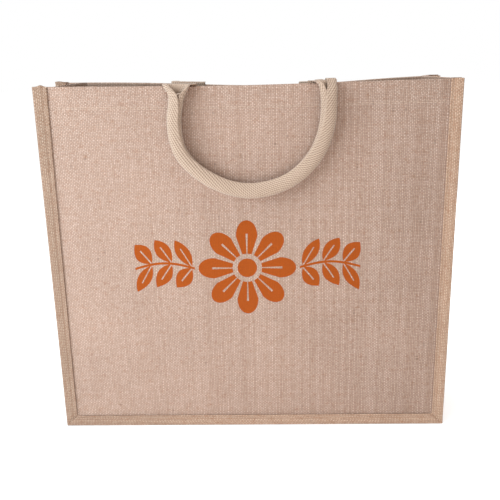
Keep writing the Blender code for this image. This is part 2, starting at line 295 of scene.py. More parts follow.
def weave(add, dark, light, depth):
    """The place, the colour and the height of a plain weave, drawn by the cloth's UV map."""
    place = add("UVMap", uv_map="cloth")
    split = add("SeparateXYZ", place)
    wander = add("TexNoise", {"Vector": place, "Scale": 60.0, "Detail": 1.0})
    wander = add("Math.SUBTRACT", wander, 0.5)
    counts, numbers, waves = [], [], []
    for axis, pitch in (("X", WARP), ("Y", WEFT)):
        count = add("Math.MULTIPLY", split.outputs[axis], 1 / pitch)
        count = add("Math.MULTIPLY_ADD", wander, 0.9, count)
        turn = add("Math.MULTIPLY", count, pi)
        waves.append(add("Math.SINE", turn))
        counts.append(count)
        numbers.append(add("Math.FLOOR", count))
    both = add("Math.MULTIPLY", *waves)
    over = add("Math.ADD", add("Math.ABSOLUTE", waves[0]), both)
    under = add("Math.SUBTRACT", add("Math.ABSOLUTE", waves[1]), both)
    on_top = add("Math.GREATER_THAN", over, under)
    height = add("Math.MULTIPLY", add("Math.MAXIMUM", over, under), 0.5)

    coarse = add("MapRange", split.outputs["X"], -0.20, 0.16, 0.35, 1.25)
    shades = []
    for this, seed, share in ((0, 3.0, STREAKS), (1, 17.0, 0.35 * STREAKS)):
        other = counts[1 - this]
        tint = add("Math.ADD", numbers[this], seed)
        tint = add("TexWhiteNoise", {"W": tint}, noise_dimensions="1D")
        line = add("CombineXYZ", numbers[this], add("Math.MULTIPLY", other, 0.045), seed)
        slub = add("TexNoise", {"Vector": line, "Scale": 1.0, "Detail": 3.0, "Roughness": 0.65})
        mix = add("Math.MULTIPLY_ADD", slub, 2.4, tint)
        mix = add("Math.SUBTRACT", mix, 1.7)
        mix = add("Math.MULTIPLY", mix, coarse)
        fine = add("Math.MULTIPLY", counts[this], 3.0)
        fibre = add("CombineXYZ", fine, add("Math.MULTIPLY", other, 0.8), seed)
        fibre = add("TexNoise", {"Vector": fibre, "Scale": 1.0, "Detail": 2.0})
        shades.append(add("Math.MULTIPLY_ADD", mix, share, fibre))
    # where the weft lies on top, its colour is drawn 0.18 darker than the warp's
    sunk = add("Math.SUBTRACT", shades[1], 0.18)
    shade = add("MixRGB", on_top, sunk, shades[0])
    uneven = add("CombineXYZ", *numbers, 5.0)
    uneven = add("TexWhiteNoise", {"Vector": uneven}, noise_dimensions="3D")
    uneven = add("Math.SUBTRACT", uneven, 0.5)
    shade = add("Math.MULTIPLY_ADD", uneven, 0.20, shade)
    shade = add("MapRange", shade, 0.1, 0.9, interpolation_type="SMOOTHSTEP")
    yarns = add("MixRGB", shade, colour(dark), colour(light))

    patch = add("TexNoise", {"Vector": place, "Scale": 14.0, "Detail": 2.0})
    patch = add("MapRange", patch, 0.3, 0.7, 0.96, 1.04)
    longer = add("Math.MULTIPLY", counts[1], 0.4)
    fleck = add("CombineXYZ", numbers[0], add("Math.FLOOR", longer), 0.0)
    fleck = add("TexWhiteNoise", {"Vector": fleck}, noise_dimensions="2D")
    fleck = add("Math.GREATER_THAN", fleck, 0.9978)
    fleck = add("Math.MULTIPLY", fleck, on_top)
    fleck = add("Math.MULTIPLY_ADD", fleck, -0.3, 1.0)
    # painted shade in the pinholes and hollows and painted light on the thread tops: the colour
    # follows the weave's height
    painted_pinhole_shade = add("MapRange", height, 0.35, 0.95, 1.0 - depth, 1.0 + 0.25 * depth)
    grey = add("Math.MULTIPLY", add("Math.MULTIPLY", patch, fleck), painted_pinhole_shade)
    result = add("MixRGB", 1.0, yarns, grey, blend_type="MULTIPLY")
    bark = add("TexNoise", {"Vector": place, "Scale": 170.0, "Detail": 4.0, "Roughness": 0.7})
    bark = add("MapRange", bark, 0.52, 0.74, 0.0, 0.55)
    result = add("MixRGB", bark, result, colour("E4C6AE"), blend_type="MULTIPLY")
    return place, result, add("Math.MULTIPLY_ADD", shade, 0.12, height)


def jute_cloth(name, dark, light, depth=0.32, roughness=0.85, tone_ramp=None):
    """Jute cloth. depth sets the painted shade in the weave's hollows. The optional ramp makes the
    colour slowly darker or lighter: axis, from, to, factor there, factor here.
    """
    material, shader, add = new_finish(name, roughness, 0.12)
    shader.inputs["Specular IOR Level"].default_value = 0.2  # loose fibres scatter, not reflect
    place, result, relief = weave(add, dark, light, depth)
    if tone_ramp:
        along = add("SeparateXYZ", place).outputs[tone_ramp[0]]
        tone = add("MapRange", along, *tone_ramp[1:], interpolation_type="SMOOTHSTEP")
        result = add("MixRGB", 1.0, result, tone, blend_type="MULTIPLY")
    dress(material, result, relief, 0.8, 0.35 * MM)
    return material


JUTE_DARK, JUTE_LIGHT = "A98A77", "D2B8A8"
jute = jute_cloth("plain_woven_jute", JUTE_DARK, JUTE_LIGHT)
jute_inside = jute_cloth("laminated_jute_inside", "AC8C76", "D2B7A3", roughness=0.45)
laminate = jute_inside.node_tree.nodes["Principled BSDF"]
laminate.inputs["Coat Weight"].default_value = 0.3
laminate.inputs["Coat Roughness"].default_value = 0.35
# the tape's colour is darker down the left leg and lighter from the middle of the base up the right
# leg
jute_tape = jute_cloth("jute_binding_tape", "A5826A", "C9AE98", depth=0.28,
                       tone_ramp=("Y", 0.3, 0.6, 0.79, 1.10))
print("jute:", round(WARP / MM, 2), "by", round(WEFT / MM, 2), "mm to a thread")

# %% [markdown]
# ### The print
#
# The front carries a one-colour screen print: a round flower with a sprig of paired
# leaves on each side. Ink is pushed through a mesh, so it is one flat, matt colour that
# stains the tops of the threads and leaves some pinholes open. Petals are waves in the
# angle round the middle, and one leaf is drawn in a cell that repeats along the stem.

# %% Printed jute
PRINT_X, PRINT_Z = -3 * MM, 189 * MM
FLOWER = 52 * MM
PETALS = 8
LEAF_LENGTH, LEAF_HALF = 31 * MM, 8 * MM
LEAF_CELL = 21.5 * MM
LEAF_TILT = radians(56)
SPRIG_START, SPRIG_END = 56 * MM, 120 * MM


def printed(material, ink):
    """Lays the motif over the cloth of a material, in that ink."""
    tree = material.node_tree
    shader = tree.nodes["Principled BSDF"]
    add = partial(add_node, tree)
    yarns = shader.inputs["Base Color"].links[0].from_socket
    place = add("SeparateXYZ", add("UVMap", uv_map="cloth"))
    x = add("Math.SUBTRACT", place.outputs["X"], PRINT_X)
    z = add("Math.SUBTRACT", place.outputs["Y"], PRINT_Z)

    point = add("CombineXYZ", x, z, 0.0)
    radius = add("VectorMath.LENGTH", point).outputs["Value"]
    angle = add("Math.ARCTAN2", z, x)
    wave = add("Math.COSINE", add("Math.MULTIPLY", angle, PETALS / 2))
    wave = add("Math.ABSOLUTE", wave)
    reach = add("Math.POWER", wave, 0.55)
    reach = add("Math.MULTIPLY_ADD", reach, 0.62 * FLOWER, 0.38 * FLOWER)
    petal = add("Math.LESS_THAN", radius, reach)
    gap = add("Math.GREATER_THAN", wave, 0.3)
    hollow = add("Math.GREATER_THAN", radius, 0.3 * FLOWER)
    vein = add("Math.LESS_THAN", wave, 0.993)
    tip = add("Math.GREATER_THAN", radius, 0.72 * FLOWER)
    for part in (gap, hollow, add("Math.MAXIMUM", vein, tip)):
        petal = add("Math.MULTIPLY", petal, part)
    heart = add("Math.LESS_THAN", radius, 0.2 * FLOWER)

    along = add("Math.SUBTRACT", add("Math.ABSOLUTE", x), SPRIG_START)
    span = SPRIG_END - SPRIG_START
    stem = add("Math.SINE", add("Math.MULTIPLY", along, pi / span))
    aside = add("Math.ABSOLUTE", add("Math.MULTIPLY_ADD", stem, -6 * MM, z))
    here = add("Math.GREATER_THAN", along, 0.0)
    before = add("Math.LESS_THAN", along, span)
    on_sprig = add("Math.MULTIPLY", here, before)
    stalk = add("Math.LESS_THAN", aside, 1.3 * MM)
    cell = add("Math.SUBTRACT", add("Math.FLOORED_MODULO", along, LEAF_CELL), 2.5 * MM)
    lengthwise = add("Math.MULTIPLY", aside, sin(LEAF_TILT))
    lengthwise = add("Math.MULTIPLY_ADD", cell, cos(LEAF_TILT), lengthwise)
    lengthwise = add("Math.MULTIPLY_ADD", lengthwise, 2 / LEAF_LENGTH, -1.05)
    crosswise = add("Math.MULTIPLY", aside, cos(LEAF_TILT))
    crosswise = add("Math.ABSOLUTE", add("Math.MULTIPLY_ADD", cell, -sin(LEAF_TILT), crosswise))
    width = add("Math.MULTIPLY", lengthwise, lengthwise)
    width = add("Math.MULTIPLY_ADD", width, -LEAF_HALF, LEAF_HALF)
    leaf = add("Math.LESS_THAN", crosswise, width)
    midrib = add("Math.GREATER_THAN", crosswise, 0.7 * MM)
    far = add("Math.GREATER_THAN", lengthwise, 0.35)
    leaf = add("Math.MULTIPLY", leaf, add("Math.MAXIMUM", midrib, far))
    sprig = add("Math.MAXIMUM", leaf, stalk)
    sprig = add("Math.MULTIPLY", sprig, on_sprig)

    motif = add("Math.MAXIMUM", petal, heart)
    motif = add("Math.MAXIMUM", motif, sprig)
    inked = add("MixRGB", 1.0, yarns, colour(ink), blend_type="MULTIPLY")
    coat = add("MixRGB", 0.62, inked, colour(ink))
    result = add("MixRGB", motif, yarns, coat)
    tree.links.new(result.outputs[0], shader.inputs["Base Color"])


# the front cloth grows darker towards its right edge: painted shade, the fall-off of the left
# softbox across the bag
printed_jute = jute_cloth("printed_jute", JUTE_DARK, JUTE_LIGHT,
                          tone_ramp=("X", 0.02, 0.19, 1.0, 0.90))
printed(printed_jute, "B15305")
print("print:", round(2 * SPRIG_END / MM), "mm wide")

# %% [markdown]
# ### Cotton webbing and thread
#
# The handles are herringbone webbing: thick, soft cotton yarns woven in slanting ribs,
# with a smooth band along each edge. Rolled into a tube the ribs run round it like the
# stripes of a rope. The sheen here is the soft bloom of cotton.

# %% Webbing and thread
RIB = 2.1 * MM
WEB_WIDTH = 38 * MM
TWIST = 0.9 * MM  # of thread to one turn of its plies


def herringbone_webbing(name, dark, light):
    """Cotton webbing. The map "cloth" runs across and along, "ribs" follows the slant."""
    material, _, add = new_finish(name, 0.8, 0.25)
    place = add("UVMap", uv_map="cloth")
    slant = add("SeparateXYZ", add("UVMap", uv_map="ribs"))
    waves = []
    for axis in ("X", "Y"):
        wave = add("Math.MULTIPLY", slant.outputs[axis], pi / RIB)
        waves.append(add("Math.ABSOLUTE", add("Math.SINE", wave)))
    lattice = add("Math.MULTIPLY", waves[1], 0.35)
    lattice = add("Math.MULTIPLY_ADD", waves[0], 0.65, lattice)
    to_edge = add("Math.SUBTRACT", add("SeparateXYZ", place).outputs["X"], WEB_WIDTH / 2)
    to_edge = add("Math.ABSOLUTE", to_edge)
    band = add("MapRange", to_edge, 17.4 * MM, 18.4 * MM)
    spine = add("MapRange", to_edge, 2.6 * MM, 4.4 * MM, 1.0, 0.0)
    smooth = add("Math.MAXIMUM", band, spine)
    relief = add("MixRGB", smooth, lattice, (0.62, 0.62, 0.62, 1.0))
    fuzz = add("TexNoise", {"Vector": place, "Scale": 900.0, "Detail": 2.0})
    shade = add("Math.MULTIPLY_ADD", fuzz, 0.5, -0.25)
    # the colour follows the relief, so the ribs are drawn by painted shade in the grooves between
    # them and painted light on their crests
    shade = add("Math.ADD", relief, shade)
    shade = add("MapRange", shade, 0.2, 0.85)
    result = add("MixRGB", shade, colour(dark), colour(light))
    dress(material, result, relief, 0.8, 0.4 * MM)
    return material


def sewing_thread(name, dark, light):
    """Two plies twisted together: the map "cloth" runs round the thread and along it."""
    material, _, add = new_finish(name, 0.7, 0.2)
    place = add("SeparateXYZ", add("UVMap", uv_map="cloth"))
    turn = add("Math.MULTIPLY", place.outputs["Y"], 1 / TWIST)
    turn = add("Math.ADD", place.outputs["X"], turn)
    turn = add("Math.MULTIPLY", turn, 2 * pi)
    ply = add("Math.MULTIPLY_ADD", add("Math.SINE", turn), 0.5, 0.5)
    # the colour follows the plies' relief: painted shade in the groove between the plies, painted
    # light on their crests
    result = add("MixRGB", ply, colour(dark), colour(light))
    dress(material, result, ply, 0.6, 0.15 * MM)
    return material


webbing = herringbone_webbing("herringbone_cotton_webbing", "7F6450", "BDA590")
thread = sewing_thread("twisted_sewing_thread", "B0937E", "CFB7A4")
print("webbing:", round(RIB / MM, 2), "mm from rib to rib")

# %% [markdown]
# ## The two panels
#
# Each panel is one rectangle of jute with its top edge turned in as a hem. The hem is
# two layers, so it is thicker, and its folded edge is round. A line of stitches pulls
# the layers together, which leaves a fine groove across the bag. The grid is finest at
# the fold and the stitches. The back was cut further up the bolt, and mirrored.

# %% Panels
HEM_CLOTH = CLOTH + 0.4 * MM
HEM_EDGE = SEAM - WALL - 1 * MM
STITCH_LINE = 22.3 * MM  # the hem's stitches, below the rim
ROUND = (CLOTH + HEM_CLOTH) / 2
FURTHER = 0.9  # metres up the bolt from the front panel to the back one


def below_rim():
    """Depths below the rim at which a hem has a row of points, from deep to shallow."""
    hem = [HEM + 1.5 * MM, HEM + 0.4 * MM, HEM, HEM - 0.6 * MM]
    stitched = [STITCH_LINE - step * MM for step in (0.6, 1.3, 2.2)]
    plain = list(np.arange(STITCH_LINE - 4.5 * MM, ROUND * 1.5, -2.6 * MM))
    fold = [ROUND * part for part in (1.0, 0.62, 0.34, 0.14, 0.03, 0.0)]
    return np.array(hem + stitched + plain + fold)


def rounding(depth):
    """How much a folded edge draws in at that depth below its top.

    It stops just short of the middle: where both faces met, their edge would have no area.
    """
    short = np.clip(ROUND - depth, 0, ROUND)
    return 0.97 * (ROUND - np.sqrt(ROUND**2 - short**2))


def panel(name, side, materials):
    columns = np.arange(-SEAM + 4 * MM, SEAM - 3.9 * MM, 2.9 * MM)
    ends = [EDGE - RAW_EDGE, SEAM + 5 * MM, SEAM + 1 * MM, HEM_EDGE, HEM_EDGE - 1 * MM]
    columns = np.r_[[-x for x in ends], columns, ends[::-1]]
    depths = below_rim()
    plain = np.linspace(RAW_EDGE, HEIGHT - 4 * MM - depths[0], 118)
    outer, inner, flat = [], [], []
    for x in columns:
        top = rim(side, x)
        deep = np.r_[top - plain, depths]
        z = top - deep
        hem = (deep <= HEM) * (1 - ease((abs(x) - HEM_EDGE + 1 * MM) / (1 * MM)))
        round_in = rounding(deep) * hem
        groove = 0.35 * MM * bump(deep, STITCH_LINE, 0.8 * MM) * hem
        outer.append(on_panel(side, x, WALL - round_in - groove, z))
        inner.append(on_panel(side, x, -WALL - HEM_CLOTH * hem + round_in + 0.5 * groove, z))
        flat.append(np.stack([np.full(len(z), -side * x), z + (side == BACK) * FURTHER], -1))
    return cloth(name, outer, inner, flat, materials)


front_panel = panel("front_panel_cloth", FRONT, [printed_jute, jute_inside])
back_panel = panel("back_panel_cloth", BACK, [jute, jute_inside])

# %% [markdown]
# ## The strip: both sides and the base
#
# One long strip runs down the left side, under the bag and up the right side. Its two
# edges turn outwards into the bound seams. The sides were pressed flat in the packing,
# so each keeps a fold along its middle that points into the bag, and the base sags
# until it rests on the floor.

# %% The strip
FLANGE_OUT = -(CLOTH + GAP)
BEND = 1.2 * MM  # of the strip into its flanges
CORNER = 8 * MM


def offset_line(points, distance):
    """A flat line of points moved sideways, square to each stretch."""
    steps = np.diff(points, axis=0)
    steps /= np.linalg.norm(steps, axis=1)[:, None]
    normals = np.stack([-steps[:, 1], steps[:, 0]], axis=1)
    before = np.vstack([normals[:1], normals])
    middle = before + np.vstack([normals, normals[-1:]])
    middle /= np.linalg.norm(middle, axis=1)[:, None]
    stretch = np.einsum("ij,ij->i", middle, before)
    return points + np.reshape(distance, (-1, 1)) * middle / stretch[:, None]


def strip_stations():
    """The way round the bag, as x, z, the angle out of the bag, and the depth below rim."""
    hem = below_rim()
    side = np.r_[np.linspace(FIN + CORNER, HEIGHT - hem[0] - 2 * MM, 90), HEIGHT - hem]
    left = [(-SEAM, z, pi, HEIGHT - z) for z in side[::-1]]
    for turn in np.linspace(0, pi / 2, 9)[1:-1]:
        x = -SEAM + CORNER * (1 - cos(turn))
        left.append((x, FIN + CORNER * (1 - sin(turn)), pi + turn, 1.0))
    base = [(x, FIN, 1.5 * pi, 1.0) for x in np.linspace(-SEAM + CORNER, SEAM - CORNER, 110)]
    return left + base + [(-x, z, 3 * pi - angle, d) for x, z, angle, d in left[::-1]]


def strip_section(x, z, angle):
    """Across the strip: its places (y, out) and how much of the side fold each one has."""

    def flange_y(side, out):
        place = (x + out * cos(angle), z + out * sin(angle))
        return panel_y(side, *place) + side * FLANGE_OUT

    middle = [0.465, 0.485, 0.5, 0.515, 0.535]
    across = np.r_[np.linspace(0, 0.44, 14), middle, np.linspace(0.56, 1, 14)]
    fold = 1 - np.hypot(2 * across - 1, 0.05)
    fold = (fold - fold[0]) / (fold.max() - fold[0])
    if z > FIN + CORNER / 2:
        reach = 30 * MM if x < 0 else 17 * MM
        out = -reach * fold * ((z - FIN) / (HEIGHT - FIN)) ** 0.7
        belly = np.sin(2 * pi * across) ** 2 * sin(pi * z / HEIGHT)
        out += 0.8 * MM * belly * np.sin(23 * z + 4 * across)
    else:
        bowl = ease((0.44 - np.abs(across - 0.5)) / 0.30)
        out = (FIN - WALL) * bowl * ease((SEAM - CORNER - abs(x)) / (60 * MM))
    start, end = flange_y(FRONT, 0) + BEND, flange_y(BACK, 0) - BEND
    raw = FIN - RAW_EDGE
    points = [(flange_y(FRONT, far), far) for far in (raw, raw / 2, BEND)]
    points += [(start - 0.65 * BEND, 0.35 * BEND)]
    points += list(zip(start + (end - start) * across, out))
    points += [(end + 0.65 * BEND, 0.35 * BEND)]
    points += [(flange_y(BACK, far), far) for far in (BEND, raw / 2, raw)]
    return np.array(points), np.pad(fold, 4)


def strip(name, materials):
    outer, inner, flat, sewn = [], [], [], []
    stations = strip_stations()
    run = lengths_along(np.array(stations)[:, :2])
    for (x, z, angle, depth), length in zip(stations, run):
        section, fold = strip_section(x, z, angle)
        hem = np.zeros(len(section))
        hem[5:-5] = depth <= HEM
        top = ease(1 - depth / (6 * MM)) * (z > HEIGHT / 2)
        at_seam = -1.5 * MM if x < 0 else 0.8 * MM
        lift = top * (1.5 * MM * fold + at_seam * (1 - fold))
        round_in = rounding(depth) * hem
        for sign in (1, -1):  # on the left rim's last row the first try isn't the outer one
            sides = [offset_line(section, sign * WALL), offset_line(section, -sign * WALL)]
            outs = [sides[0][:, 1] - round_in, sides[1][:, 1] - hem * HEM_CLOTH + round_in]
            if outs[0].mean() >= outs[1].mean():
                break
        for grid, face, out in zip((outer, inner), sides, outs):
            place = [x + out * cos(angle), face[:, 0], z + out * sin(angle) + lift]
            grid.append(np.stack(place, 1))
        if abs(depth - STITCH_LINE + 0.6 * MM) < 0.01 * MM:
            front, behind = outer[-1][6:-6], inner[-1][6:-6]
            sewn += [(front, behind), (behind, front)]
        flat.append(np.stack([lengths_along(section) + 2.1, np.full(len(section), length)], 1))
    print(f"the strip is {run[-1]:.2f} m long")
    return cloth(name, outer, inner, flat, materials), sewn


side_strip, gusset_lines = strip("side_and_base_cloth", [jute, jute_inside])

# %% [markdown]
# ## The bindings
#
# A strip of jute tape is folded round the raw edges and stitched through, down one
# side, along the bottom and up the other. Its own edge is turned under in a little roll,
# and at the two lower corners it is folded over itself in a mitre.

# %% Bindings
TAPE_FRONT = WALL + GAP + TAPE / 2
TAPE_BACK = FLANGE_OUT - WALL - GAP - TAPE / 2
TAPE_BEND = 1.1 * MM
TAPE_STEP = 1.6 * MM
BINDING_STITCH = 9.8 * MM  # from the seam's outer edge
MITRE = 1 * MM  # depth of the crease at the two lower corners
TAPE_TOPS = {  # for each binding's two cut ends: least height, more of it, where, how wide, in mm
    (FRONT, -1): (0.1, 1.6, 7.5, 3.0), (FRONT, 1): (0.4, 0.5, 6, 4),
    (BACK, -1): (0.6, 0.9, 3.2, 3.4), (BACK, 1): (-0.4, 0.3, 6, 4),
}


def tape_section():
    """The folded tape: each point's distance in from the edge, out, and half thickness."""
    fold = TAPE / 2
    insets = np.array([13, 12.88, 12.6, 12, 11.3, 10.6, 9.8, 9, 7.5, 6, 4.5, 3]) * MM
    roll = 0.22 * MM * bump(insets, 12.1 * MM, 0.9 * MM)
    crown = 0.30 * MM * bump(insets, 5.5 * MM, 3 * MM)
    dip = 0.22 * MM * bump(insets, BINDING_STITCH, 0.8 * MM)
    front = np.stack([insets, TAPE_FRONT + roll + crown - dip], 1)
    turn = np.linspace(0, pi / 2, 5)
    most, least = TAPE_BEND * (1 - np.sin(turn)), TAPE_BEND * (1 - np.cos(turn))
    first = np.stack([fold + most, TAPE_FRONT - least], 1)
    second = np.stack([fold + least, TAPE_BACK + most], 1)
    back = np.append(np.array([3, 4.5, 6, 7.5, 9, 9.8, 10.6, 11.2]) * MM, FIN - TAPE_STEP)
    behind = np.stack([back, np.full(len(back), TAPE_BACK)], 1)
    line = np.concatenate([front, first, second, behind])
    halves = np.full(len(line), TAPE / 2)
    halves[:5] = np.array([0.12, 0.45, 0.75, 0.72, 0.6]) * MM
    halves[-1] = 0.15 * MM
    return line, halves


def tape_top(side, hand, inset):
    """How far a binding's cut end stands above the rim."""
    least, more, middle, spread = (size * MM for size in TAPE_TOPS[side, hand])
    return least + more * bump(inset, middle, spread)


def tape_reach(side, hand, inset, out, z):
    """The front left binding was sewn on a slant: its leg gets wider towards the rim."""
    wider = 0.17 * np.clip(z / HEIGHT, 0, 1) ** 1.5 * (np.asarray(out) > 0)
    return inset * (1 + wider) if side == FRONT and hand < 0 else inset


def binding(name, side, materials):
    line, halves = tape_section()
    upright = np.r_[np.linspace(1, 0.03, 118), 0.022, 0.014, 0.008, 0.004, 0.0]
    near = 1 - np.array([0.002, 0.005, 0.009, 0.016])
    along = np.r_[-near, np.linspace(-0.975, 0.975, 128), near[::-1]]
    grids = []
    for sign in (1, -1):
        rows = []
        inset, out = offset_line(line, sign * halves).T
        mitre = MITRE * (inset > 2 * MM) * (out > 0)
        for hand in (-1, 1):
            for x in along if hand > 0 else ():
                crease = mitre * bump(1 - abs(x), 0, 0.009)
                rows.append(on_panel(side, x * (EDGE - inset), out - crease, inset))
            for up in upright[::-hand]:
                top = rim(side, hand * (EDGE - inset)) + tape_top(side, hand, inset)
                z = inset + (top - inset) * up
                flare = 1.5 * MM * bump(z, HEIGHT, 5 * MM) * (1 - inset / FIN)
                flare = flare * (side == BACK and hand < 0)
                reach = tape_reach(side, hand, inset, out, z)
                x = hand * (EDGE - reach + np.minimum(flare, 0.9 * MM))
                rows.append(on_panel(side, x, out - mitre * bump(up, 0.0, 0.005), z))
        grids.append(np.array(rows))
    run = lengths_along(grids[0].mean(axis=1))
    across, length = np.meshgrid(lengths_along(line) + 3.7 + side, run)
    return cloth(name, grids[0], grids[1], np.stack([across, length], -1), materials)


front_binding = binding("front_binding_tape", FRONT, [jute_tape, jute_tape])
back_binding = binding("back_binding_tape", BACK, [jute_tape, jute_tape])

# %% [markdown]
# ## The handles
#
# Each handle is one length of webbing. Its flat ends are sewn inside the hem. It comes
# over the rim, its two edges curl towards each other, and from there it is a tube,
# closed with oversewing, that hangs down in a loop. The route below gives the middle of
# the webbing at each station, how its seam is turned, and how far each half is curled.

# %% Route and sections of a handle
X, OUT, Z, SEAM_ANGLE, ROLL_IN, PRESSED, ROLL_OUT = range(7)
ROUTE = (  # x, out and z in mm, the seam's angle in degrees, how far the inner half is rolled,
    # and how flat the outer half, which is rolled up throughout, is pressed
    (-67.5, -3.7, 352, 0, 0, 1),
    (-68, -3.7, 374, 0, 0, 1),
    (-68.6, -3.6, 379.4, 0, 0, 1),
    (-69, -1, 380.8, 0, 0, 1),
    (-69.2, 2.4, 380.2, 0, 0.04, 0.95),
    (-69, 5, 378, 4, 0.26, 0.76),
    (-68.6, 7.4, 374.6, 12, 0.6, 0.5),
    (-68.8, 9, 370.2, 24, 0.97, 0.18),
    (-70.4, 9.2, 362, 32, 1, 0),
    (-72.7, 9.4, 343, 42, 1, 0),
    (-67, 9.2, 313, 54, 1, 0),
    (-41, 9, 287.5, 68, 1, 0),
    (2, 8.8, 273.6, 75, 1, 0),
    (46, 9, 286.5, 66, 1, 0),
    (71.5, 9.2, 314.5, 50, 1, 0),
    (80.8, 9.4, 345, 36, 1, 0),
    (81.4, 9.2, 365, 26, 1, 0.1),
    (81.2, 7.8, 371.5, 18, 0.97, 0.35),
    (81, 5.6, 376.4, 8, 0.74, 0.65),
    (80.8, 2.4, 380.4, 0, 0.14, 0.95),
    (80.6, -1, 381.4, 0, 0.03, 1),
    (80.2, -3.7, 380.2, 0, 0, 1),
    (79.8, -3.7, 375, 0, 0, 1),
    (79, -3.7, 352, 0, 0, 1),
)
FOLD_RADIUS = 1 * MM
FOLD_LEFT, FOLD_RIGHT = 13 * MM, 7 * MM  # from the webbing's middle to where it folds over
FOOT = 368 * MM  # above this height a handle's ends lie folded on the rim
LOOP_MIDDLE = np.array([4 * MM, 0, HEIGHT])
TUBE_SLIT = 0.05  # radians left open on each side of the seam
STEPS = 12  # sections from one station to the next


def smooth_route(stations, steps):
    """Points on a smooth curve through the stations, steps to a stretch."""
    spans = np.linalg.norm(np.diff(stations[:, :3], axis=0), axis=1)[:, None]
    slopes = np.diff(stations, axis=0) / spans
    turns = (slopes[:-1] * spans[1:] + slopes[1:] * spans[:-1]) / (spans[:-1] + spans[1:])
    slopes = np.vstack([slopes[:1], turns, slopes[-1:]])
    t = (np.arange(steps) / steps)[:, None]
    points = []
    for index, span in enumerate(spans):
        here, there = stations[index], stations[index + 1]
        leaving, arriving = slopes[index] * span, slopes[index + 1] * span
        points.append((2 * t**3 - 3 * t**2 + 1) * here + (t**3 - 2 * t**2 + t) * leaving
                      + (3 * t**2 - 2 * t**3) * there + (t**3 - t**2) * arriving)
    return np.vstack([*points, stations[-1:]])


def half_section(part, roll, pressed, fold_place=0.0):
    """Half of the webbing's width: sideways, upwards, angle and mean height.

    It is straight, then an arc, then straight again. A round half is all arc. A pressed
    one is folded flat over itself, with a tight bend and a tail.
    """
    half = WEB_WIDTH / 2
    turn = max(roll, 0.001) * (pi - TUBE_SLIT)
    radius = (1 - pressed) * half / turn + pressed * FOLD_RADIUS
    first = pressed * fold_place
    length = part * half
    bend = np.clip((length - first) / radius, 0, turn)
    tail = np.clip(length - first - radius * turn, 0, None)
    sideways = np.minimum(length, first) + radius * np.sin(bend) + tail * cos(turn)
    upwards = radius * (1 - np.cos(bend)) + tail * sin(turn)
    return sideways, upwards, bend, (1 - pressed) * radius * (1 - sin(turn) / turn)


print("stations along a handle:", len(ROUTE))

